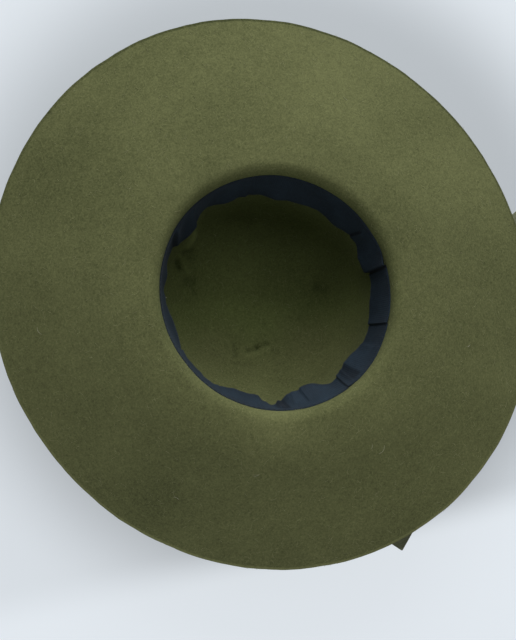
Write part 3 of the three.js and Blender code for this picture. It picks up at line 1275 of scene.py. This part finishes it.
@dataclass
class Sweatband:
    """The navy ribbon inside the opening, sewn at its upper edge, with a loose wavy lower edge."""

    felt: FeltBody
    width: float = 30.0
    thickness: float = 0.7
    edge_thickness: float = 0.4
    gap: float = 0.1
    below_wall_top: float = 1.5
    # each crest or hollow of the loose edge: its angle, and its distance inward from the sewn edge
    folds: tuple[tuple[float, float], ...] = (
        (0, 3.4), (13, 8.8), (21, 7.1), (50, 11.1), (62, 7), (69, 6.1), (76, 8.5), (91, 4.3),
        (106, 11.1), (119, 4.8), (127, 4.6), (135, 7.3), (141.5, 5.3), (147, 6.6), (165, 9.9),
        (180, 6.3), (190, 6.9), (200, 6.1), (214, 10.7), (227, 11), (231.5, 6.6), (236, 3.8),
        (240, 6.6), (245, 12), (257, 15.1), (271, 6.3), (285, 11.2), (304, 4.9), (318, 6.7), (334, 3.4),
        (346, 8.2), (356, 3.1),
    )
    tucks: tuple[Tuck, ...] = (
        Tuck(338.8, 338.8, 9, 2.4, groove=0.8, shade=0.95, shade_wide=3.0),
        Tuck(309.6, 309.8, 7, 1.0, shade=0.35, shade_wide=1.2),
        Tuck(272.0, 275.0, 4, 1.1, soft=0.6),
        Tuck(275.5, 278.5, -3, 0.5, soft=1.2),
        Tuck(282.2, 283.2, 4, 0.7, start=0.1, soft=2.5, shade=0.5, shade_wide=10.0),
        Tuck(254.0, 252.5, 5, 0.9, start=0.35, soft=1.2),
        Tuck(173.0, 177.0, 6, 0.9, start=0.2, soft=0.8),
        Tuck(112.0, 116.0, -8, 1.9, start=0.15, soft=2.6, shade=0.5, shade_wide=6.0),
        Tuck(99.0, 101.0, 6, 1.0, start=0.2, soft=2.0),
        Tuck(237.5, 238.5, 6, 1.2, start=0.3, soft=0.8),
        Tuck(242.8, 241.8, 4, 0.5, start=0.1, soft=1.2, shade=0.7, shade_wide=7.0),
        Tuck(244.0, 247.0, 5, 0.7, start=0.4, soft=1.6),
        Tuck(357.5, 360.5, -9, 1.1, start=0.3, soft=1.2, shade=0.75, shade_wide=3.0),
        Tuck(347.0, 348.0, 7, 0.7, start=0.2, soft=2.5),
        Tuck(66.0, 67.5, 6, 0.8, start=0.25, soft=2.0),
        Tuck(206.0, 204.0, -6, 0.6, start=0.3, soft=1.5),
        Tuck(296.0, 297.0, -6, 0.6, start=0.2, soft=2.5),
    )
    tuck_begins_over: float = 0.15  # parts of the way down the band
    shade_begins_over: float = 0.2
    groove_off: float = 0.85  # millimetres from the foot of a tuck's sharp side to its groove
    groove_wide: float = 0.6
    ripple: Unevenness = Unevenness(seed=3, waves=26, shortest=6, longest=26, swing=0.3)
    ripple_fall: float = 9.0  # how far their pattern is followed from the sewn edge down
    ripple_grows: float = 1.3  # the power by which they grow on the way
    edge_part: float = 0.1  # the part of the band that is thinner along the sewn edge
    length_inset: float = 2.0  # how far inside the opening the ribbon's length is measured
    steps_round: int = 1440
    steps_deep: int = 22
    stitch_pitch: float = 4.0
    stitch_length: float = 3.0
    stitch_thick: float = 0.35
    stitch_below_edge: float = 1.6
    stitch_proud: float = 0.1  # how far a stitch's ends stand off the ribbon
    stitch_arch: float = 0.12  # how much further its middle does

    def inward(self, angle: np.ndarray) -> np.ndarray:
        """Gives the loose edge's distance inward, swinging smoothly from row to row."""
        rows = np.array(self.folds)
        angle = np.asarray(angle) % 360
        after = np.searchsorted(rows[:, 0], angle, side="right") % len(rows)
        before = (after - 1) % len(rows)
        span = (rows[after, 0] - rows[before, 0]) % 360
        part = ((angle - rows[before, 0]) % 360) / span
        swing = (1 - np.cos(math.pi * part)) / 2
        return rows[before, 1] + (rows[after, 1] - rows[before, 1]) * swing

    def tuck_height(self, angle: np.ndarray, part: np.ndarray) -> np.ndarray:
        """Gives how far the tucks stand off the band, a part of the way down it."""
        total = np.zeros(np.broadcast(angle, part).shape)
        for tuck in self.tucks:
            past = tuck.past(angle, part) / tuck.fade
            slope = np.where(past >= 0, np.clip(1 - past, 0, 1) ** 2, 0.0)
            away = -past * abs(tuck.fade) * math.radians(self.felt.opening_radius)
            step = np.where(past < 0, np.exp(-((away / tuck.soft) ** 2)), slope)
            from_groove = (away - self.groove_off - tuck.soft) / (self.groove_wide + tuck.soft)
            groove = tuck.groove * np.exp(-(from_groove**2))
            total += tuck.height * (step - groove) * tuck.begun(part, self.tuck_begins_over)
        return total

    def tuck_shade(self, angle: np.ndarray, part: np.ndarray) -> np.ndarray:
        """Gives how dark the painted shade is at the feet of the tucks, from 0 to 1."""
        total = np.zeros(np.broadcast(angle, part).shape)
        for tuck in self.tucks:
            turn = math.copysign(math.radians(self.felt.opening_radius), tuck.fade)
            away = -tuck.past(angle, part) * turn - tuck.shade_wide / 2
            spread = np.exp(-((away / (tuck.shade_wide / 2)) ** 4))
            total += tuck.shade * spread * tuck.begun(part, self.shade_begins_over)
        return np.minimum(total, 1.0)

    def point(self, angle: np.ndarray, part: np.ndarray, through: np.ndarray) -> np.ndarray:
        """Gives points of the band.

        Args:
            angle: angles in degrees.
            part: parts of the way down from the sewn edge, from 0 to 1.
            through: parts of the way through the band, from its inside at 0 to the felt's side at 1.

        Returns:
            The points, in millimetres.
        """
        angle, part, through = np.broadcast_arrays(
            np.asarray(angle, float), np.asarray(part, float), np.asarray(through, float)
        )
        inward = self.inward(angle)
        drop = np.sqrt(self.width**2 - inward**2) * part
        lean = math.radians(self.felt.wall_lean)
        along = self.felt.wall_along(self.below_wall_top + drop)
        full = ease(part / self.edge_part)
        thick = self.edge_thickness + (self.thickness - self.edge_thickness) * full
        on_wall = self.felt.surface(angle, along, -self.gap - thick * (1 - through))
        loose = (inward - self.width * math.tan(lean)) * part * part
        down = part * self.ripple_fall
        waves = self.ripple.at(polar(angle, self.felt.opening_radius, down))
        waves = waves * part**self.ripple_grows
        off = np.maximum(loose + waves + self.tuck_height(angle, part), 0.0)
        return on_wall - off[..., None] * polar(angle, np.ones_like(angle), 0.0)

    def build(self, ribbon: bpy.types.Material, thread: bpy.types.Material) -> None:
        """Builds and dresses the band and the stitches along its sewn edge."""
        angles = turn_angles(self.steps_round)
        down = np.linspace(0, 1, self.steps_deep + 1)
        parts = np.concatenate([down, down[::-1]])
        through = np.repeat([0.0, 1.0], len(down))
        rings = self.point(angles[None], parts[:, None], through[:, None])
        length = np.radians(angles) * self.felt.opening_radius
        weave = [
            np.column_stack([length, np.full_like(length, self.width * part)]) for part in parts
        ]
        piece = skin("sweatband_ribbon", list(rings), True, weave)
        # painted shade at the feet of the tucks
        add_values(piece, "lapped", self.tuck_shade(angles[None], parts[:, None]).ravel())
        band = dress(piece, ribbon, "sweatband_ribbon", "sweatband")
        self._stitches(thread)

    def _stitches(self, thread: bpy.types.Material) -> None:
        """Builds the row of stitches that holds the band to the felt."""
        count = round(2 * math.pi * self.felt.opening_radius / self.stitch_pitch)
        half_angle = math.degrees(self.stitch_length / 2 / self.felt.opening_radius)
        across = np.linspace(-1, 1, 5)
        angle = turn_angles(count)[:, None] + half_angle * across
        proud = self.stitch_proud + self.stitch_arch * (1 - across**2)
        lines = self.point(angle, self.stitch_below_edge / self.width, 0.0)
        lines = lines - proud[:, None] * polar(angle, np.ones_like(angle), 0.0)
        points, faces = thread_tubes(lines, self.stitch_thick / 2, 6)
        dress(link_mesh("sweatband_stitches", points, faces), thread, "sweatband_ribbon")


# ---- The ribbon outside ----


@dataclass(frozen=True)
class LooseEnd:
    """One loose end of the ribbon, from the knot down to the surface and out along it."""

    name: str
    node: str  # the CAD node that it stands for
    side: int  # -1 for the end that lies clockwise of the knot, or 1
    lying: float  # how much of it lies flat, in millimetres
    heading: float  # the way that the flat part points, from straight out
    bow: float  # how far the flat part bows sideways


@dataclass
class OuterRibbon:
    """The olive ribbon: the band round the crown, its knot, and its two loose ends."""

    felt: FeltBody
    width: float = 28.0
    thickness: float = 0.8
    gap: float = 0.35
    below_wall_top: float = 5.0
    length_outset: float = 1.0  # how far outside the opening the ribbon's length is measured
    band_fold: float = 0.45  # half the height of the band's folds, beside the knot
    band_fold_reach: float = 16.0
    band_fold_lean: float = 0.04  # radians of their wave for each millimetre from the knot
    knot_angle: float = 304.0
    knot_across: float = 26.0
    knot_tall: float = 34.0
    knot_thick: float = 10.0
    knot_height: float = 84.0
    knot_gap: float = 0.8
    knot_squareness: float = 2.6
    knot_folds: float = 6.2  # from one fold of the knot to the next
    knot_fold_depth: float = 1.1
    knot_fold_slant: float = 0.28
    knot_fold_sway: float = 0.9
    knot_fold_sway_wave: float = 6.5
    knot_fold_sharp: float = 0.7
    knot_face: float = 1.6  # over 1, so that its folds are full over most of its outward face
    knot_waist: float = 0.07  # how much narrower the knot is half-way up
    packed_gap: float = 0.3  # the band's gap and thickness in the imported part
    packed_thickness: float = 1.0
    knot_round: int = 160
    knot_rings: int = 81
    # sections of a loose end's fall: out from the axis, to the side of the knot, up, how wide the
    # gathered ribbon has spread, and how far it has turned from facing the crown
    fall: tuple[tuple[float, ...], ...] = (
        (97, 7, 65.5, 12, 0),
        (101, 10, 50, 18, 10),
        (106, 16, 33, 24, 24),
        (113, 25, 15, 28, 40),
        (124, 41, 3.5, 28, 52),
        (138, 61, 0.5, 28, 57),
    )
    ends: tuple[LooseEnd, ...] = (
        LooseEnd("ribbon_end_a", "band_tail_a", side=-1, lying=113.0, heading=57.5, bow=2.0),
        LooseEnd("ribbon_end_b", "band_tail_b", side=1, lying=152.0, heading=54.5, bow=-3.0),
    )
    point_length: float = 14.0
    point_parts: tuple[float, ...] = (0.25, 0.5, 0.75, 0.97)
    pleats: float = 2.5
    pleat_depth: float = 1.6  # how deep the pleats are for how far the ribbon is gathered
    pleat_start: float = 0.4
    floor_gap: float = 0.02
    pull: Unevenness = Unevenness(seed=17, waves=20, shortest=9, longest=40, swing=0.14)
    ripple: Unevenness = Unevenness(seed=29, waves=16, shortest=30, longest=90, swing=0.45)
    steps_round: int = 480
    steps_deep: int = 14
    tail_steps: int = 170
    tail_across: int = 28

    def build(self, ribbon: bpy.types.Material) -> None:
        """Builds and dresses the band, the knot and the two ends."""
        self._band(ribbon)
        self._knot(ribbon)
        for end in self.ends:
            self._tail(end, ribbon)

    def _band(self, ribbon: bpy.types.Material) -> None:
        """Builds the ribbon round the foot of the crown, drawn into small folds by the knot."""
        angles = turn_angles(self.steps_round)
        down = np.linspace(0, 1, self.steps_deep + 1)
        parts = np.concatenate([down, down[::-1]])[:, None]
        outward = self.thickness * np.repeat([0.0, 1.0], len(down))[:, None]
        through = self.felt.wall + self.gap + outward
        along = self.felt.roll_start() - self.below_wall_top - self.width * parts
        radius = self.felt.opening_radius
        from_knot = np.abs(angle_between(angles, self.knot_angle)) * math.radians(radius)
        beside = np.maximum(from_knot - self.knot_across / 2, 0) / self.band_fold_reach
        slant = 2 * math.pi * self.pleats * parts + self.band_fold_lean * from_knot
        folds = self.band_fold * np.exp(-(beside**2)) * (1 + np.cos(slant))
        waver = np.abs(self.pull.at(self.felt.point(angles[None], along, 0.0)))
        rings = self.felt.surface(angles[None], along, through + folds + waver)
        length = np.radians(angles) * radius
        weave = [
            np.column_stack([length, np.full_like(length, self.width * part)])
            for part in parts[:, 0]
        ]
        piece = skin("ribbon_band", list(rings), True, weave)
        band = dress(piece, ribbon, "outer_ribbon", "hat_band")

    def _knot(self, ribbon: bpy.types.Material) -> None:
        """Builds the flat knot, wound in soft folds, which leans as the crown's wall does."""
        power = 2 / self.knot_squareness
        rounds = np.radians(turn_angles(self.knot_round))

        def boxy(value: np.ndarray) -> np.ndarray:
            """Makes a sine or cosine boxier."""
            return np.sign(value) * np.abs(value) ** power

        rings, weave = [], []
        for up in np.linspace(-math.pi / 2, math.pi / 2, self.knot_rings):
            flat = boxy(np.cos(up))
            x = self.knot_thick / 2 * boxy(np.cos(rounds)) * flat
            y = self.knot_across / 2 * boxy(np.sin(rounds)) * flat
            z = np.full_like(x, self.knot_tall / 2 * boxy(np.sin(up)))
            sway = self.knot_fold_sway * np.sin(z / self.knot_fold_sway_wave)
            slant = y + self.knot_fold_slant * z + sway
            swell = np.abs(np.sin(math.pi * slant / self.knot_folds))
            fold = swell**self.knot_fold_sharp - 1
            facing = np.clip(np.cos(rounds) * self.knot_face, 0, 1) * flat
            x = x + self.knot_fold_depth * fold * facing
            y = y * (1 - self.knot_waist * np.cos(z / self.knot_tall * math.pi) ** 2)
            ring = np.column_stack([x, y, z])
            if abs(up) > math.pi / 2 - 1e-6:
                ring = ring[:1] * [0, 0, 1]
            rings.append(ring)
            weave.append(ring[:, [2, 1]])
        turn = np.array(self._knot_place())
        rings = [ring @ turn[:3, :3].T + turn[:3, 3] for ring in rings]
        knot = skin("ribbon_knot", rings, False, weave)
        dress(knot, ribbon, "outer_ribbon", "band_knot")

    def _knot_place(self) -> Matrix:
        """Gives the place and turn of the knot's middle, just outside the band."""
        lean = math.radians(self.felt.wall_lean)
        below = self.felt.wall_top - self.knot_height
        pull = self.felt.pull(self.knot_angle, self.felt.wall_along(below))
        wall_radius = self.felt.opening_radius - below * math.tan(lean) + float(pull)
        band_depth = self.packed_gap + self.packed_thickness
        depth = self.felt.wall + band_depth + self.knot_gap + self.knot_thick / 2
        return (
            Matrix.Rotation(math.radians(self.knot_angle), 4, "Z")
            @ Matrix.Translation((wall_radius + depth, 0, self.knot_height))
            @ Matrix.Rotation(lean, 4, "Y")
        )

    def _sections(self, end: LooseEnd) -> np.ndarray:
        """Gives the sections of a loose end, from the knot to its point.

        Args:
            end: the loose end.

        Returns:
            A row for each section, as in "fall".
        """
        land_out, land_side, land_up = self.fall[-1][:3]
        cos, sin = math.cos(math.radians(end.heading)), math.sin(math.radians(end.heading))

        def on_floor(length: float, bowed: float, spread: float) -> tuple[float, ...]:
            """Gives a section of the flat part, so far from where it lands."""
            return (
                land_out + cos * length - sin * bowed,
                land_side + sin * length + cos * bowed,
                land_up,
                spread,
                end.heading,
            )

        bends = [
            *self.fall,
            on_floor(end.lying / 3, end.bow, self.width),
            on_floor(2 * end.lying / 3, end.bow, self.width),
            on_floor(end.lying - self.point_length, 0, self.width),
        ]
        tip = [
            on_floor(end.lying - self.point_length * (1 - part), 0, self.width * (1 - part))
            for part in self.point_parts
        ]
        return np.vstack([catmull_rom(np.array(bends, float), self.tail_steps), tip])

    def _tail(self, end: LooseEnd, ribbon: bpy.types.Material) -> None:
        """Builds one loose end."""
        rows = self._sections(end)
        land_up = self.fall[-1][2]
        up = np.maximum(rows[:, 2], land_up)
        place = np.column_stack([rows[:, 0], end.side * rows[:, 1], up])
        steps = np.linalg.norm(np.diff(place, axis=0), axis=1)
        run = np.concatenate([[0], np.cumsum(steps)])
        forward = np.gradient(place, axis=0)
        forward /= np.linalg.norm(forward, axis=1, keepdims=True)
        turn = np.radians(rows[:, 4])
        across = np.column_stack([-np.sin(turn), end.side * np.cos(turn), np.zeros(len(rows))])
        face = np.cross(forward, across) * end.side
        face /= np.linalg.norm(face, axis=1, keepdims=True)
        spot = np.linspace(-1, 1, self.tail_across + 1)
        spread = rows[:, 3:4]
        before_point = np.arange(len(rows))[:, None] < len(rows) - len(self.point_parts)
        gathered = np.where(before_point, self.width / spread - 1, 0.0)
        wave = 2 * math.pi * self.pleats / spread
        swing = np.sin(math.pi * self.pleats * spot + self.pleat_start)
        pleat = self.pleat_depth / wave * np.sqrt(np.maximum(gathered, 0)) * swing
        flat = place[:, None] + spot[:, None] * spread[..., None] / 2 * across[:, None]
        lift = np.maximum(pleat + self.ripple.at(flat), -place[:, 2:] + self.floor_gap)
        middle = flat + lift[..., None] * face[:, None]
        upper = middle + face[:, None] * self.thickness / 2
        lower = middle - face[:, None] * self.thickness / 2
        rings = np.concatenate([upper, lower[:, ::-1]], axis=1)
        rings[..., 2] = np.maximum(rings[..., 2], self.floor_gap)
        threads = np.tile(spot * self.width / 2, 2)
        weave = [np.column_stack([np.full(len(threads), at), threads]) for at in run]
        ends = [rings[0].mean(0, keepdims=True), rings[-1].mean(0, keepdims=True)]
        weave = [weave[0][:1], *weave, weave[-1][:1]]
        knot_turn = math.radians(self.knot_angle)
        cos, sin = math.cos(knot_turn), math.sin(knot_turn)
        spin = np.array([[cos, -sin, 0], [sin, cos, 0], [0, 0, 1]])
        rings = [ring @ spin.T for ring in (ends[0], *rings, ends[1])]
        tail = dress(skin(end.name, rings, False, weave), ribbon, "outer_ribbon", end.node)


# ---- Camera, floor and light ----


@dataclass(frozen=True)
class SoftLamp:
    """A soft panel of light, which faces the middle of the crown's tip from a fixed distance."""

    name: str
    angle: float  # round the hat, that it shines from
    height: float  # how high above level it shines from, in degrees
    wide: float  # metres
    tall: float  # metres
    strength: float  # how brightly it lights what faces it: at 1, white board shows full white


@dataclass
class Studio:
    """The camera above the hat, the pale floor under it, and soft light, most of it from a window.

    Lengths are in millimetres, apart from the height of the opening, the floor's size and the
    lamps' distance, which are in metres.
    """

    opening_height: float
    distance: float = 600.0
    tilt: float = 14.0
    toward: float = 181.0  # the angle that the camera leans out toward
    aim: tuple[float, float] = (-24.5, -10.1)  # from the middle of the opening
    upward: float = 54.0  # the angle that points up in the view
    lens: float = 44.2
    sensor: float = 36.0
    floor_size: float = 5.0
    floor_drop: float = 0.15
    lamps: tuple[SoftLamp, ...] = (
        SoftLamp("window", 52.0, 32.5, 1.5, 1.2, 0.94),
        SoftLamp("far_wall", 225.0, 12.0, 1.0, 1.0, 0.27),
        SoftLamp("ceiling_near", 352.0, 62.0, 1.0, 1.0, 0.11),
        SoftLamp("ceiling_far", 88.0, 62.0, 1.0, 1.0, 0.10),
    )
    lamp_distance: float = 1.6
    sky: str = "#ffffff"
    sky_strength: float = 0.09

    def _way(self, turn: float, lift: float) -> Vector:
        """Gives the direction at an angle round +Z and an angle above level, both in radians."""
        level = math.cos(lift)
        return Vector((math.cos(turn) * level, math.sin(turn) * level, math.sin(lift)))

    def place_camera(self) -> None:
        """Makes the scene's camera."""
        lift, toward = math.radians(90 - self.tilt), math.radians(self.toward)
        away = self._way(toward, lift)
        centre = Vector((0, 0, self.opening_height))
        eye = centre + away * self.distance * MM
        look = (centre + Vector((*self.aim, 0)) * MM - eye).normalized()
        upward = math.radians(self.upward)
        right = look.cross(Vector((math.cos(upward), math.sin(upward), 0))).normalized()
        frame_up = right.cross(look)
        data = bpy.data.cameras.new("overhead_camera")
        data.sensor_fit = "VERTICAL"
        data.sensor_height = self.sensor
        data.lens = self.lens
        data.clip_start = 0.01
        camera = bpy.data.objects.new("overhead_camera", data)
        turn = Matrix((right, frame_up, -look)).transposed().to_4x4()
        camera.matrix_world = Matrix.Translation(eye) @ turn
        bpy.context.scene.collection.objects.link(camera)
        bpy.context.scene.camera = camera

    def lay_floor(self, board: bpy.types.Material, level: float) -> None:
        """Lays the floor just under the hat's lowest point."""
        mesh = bpy.data.meshes.new("floor")
        half = self.floor_size / 2
        z = level - self.floor_drop * MM
        corners = [(-half, -half, z), (half, -half, z), (half, half, z), (-half, half, z)]
        mesh.from_pydata(corners, [], [[0, 1, 2, 3]])
        floor = bpy.data.objects.new("floor", mesh)
        bpy.context.scene.collection.objects.link(floor)
        floor.data.materials.append(board)
        floor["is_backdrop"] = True

    def light(self) -> None:
        """Hangs the soft lamps and sets the room's even light."""
        for lamp in self.lamps:
            way = self._way(math.radians(lamp.angle), math.radians(lamp.height))
            data = bpy.data.lights.new(lamp.name, "AREA")
            data.shape = "RECTANGLE"
            data.size = lamp.wide
            data.size_y = lamp.tall
            data.energy = lamp.strength * (math.pi * self.lamp_distance) ** 2
            panel = bpy.data.objects.new(lamp.name, data)
            panel.location = way * self.lamp_distance
            panel.rotation_euler = way.to_track_quat("Z", "Y").to_euler()
            bpy.context.scene.collection.objects.link(panel)
        world = bpy.data.worlds.new("room")
        world.use_nodes = True
        tree = world.node_tree
        tree.nodes.clear()
        even = {"Color": linear(self.sky), "Strength": self.sky_strength}
        room = add_node(tree, "ShaderNodeBackground", even)
        add_node(tree, "ShaderNodeOutputWorld", {"Surface": room.outputs["Background"]})
        bpy.context.scene.world = world
        view = bpy.context.scene.view_settings
        view.view_transform = "Standard"
        view.look = "None"


def main() -> None:
    """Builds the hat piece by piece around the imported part."""
    cad_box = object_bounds()
    opening_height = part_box("sweatband")[1].z
    studio = Studio(opening_height=opening_height)
    studio.place_camera()

    felt_body = FeltBody()
    felt_body.build(WoolFelt().build())
    hair = LooseWool("loose_wool_hair", dark="#6f7249", light="#b3b48d").build()
    pale_hair = LooseWool("pale_lint", dark="#8f9073", light="#bfbfa6").build()
    LooseFibres(felt_body).build(hair, pale_hair)
    navy = Grosgrain("navy_grosgrain", dark="#0a141d", light="#273948").build()
    navy_thread = SewingThread("navy_thread", dark="#0d1119", light="#252d3a").build()
    Sweatband(felt_body).build(navy, navy_thread)
    olive = Grosgrain("olive_grosgrain", dark="#50543f", light="#8f9376").build()
    OuterRibbon(felt_body).build(olive)

    studio.lay_floor(PaleFloor().build(), cad_box[0].z)
    studio.light()


if __name__ == "__main__":
    main()
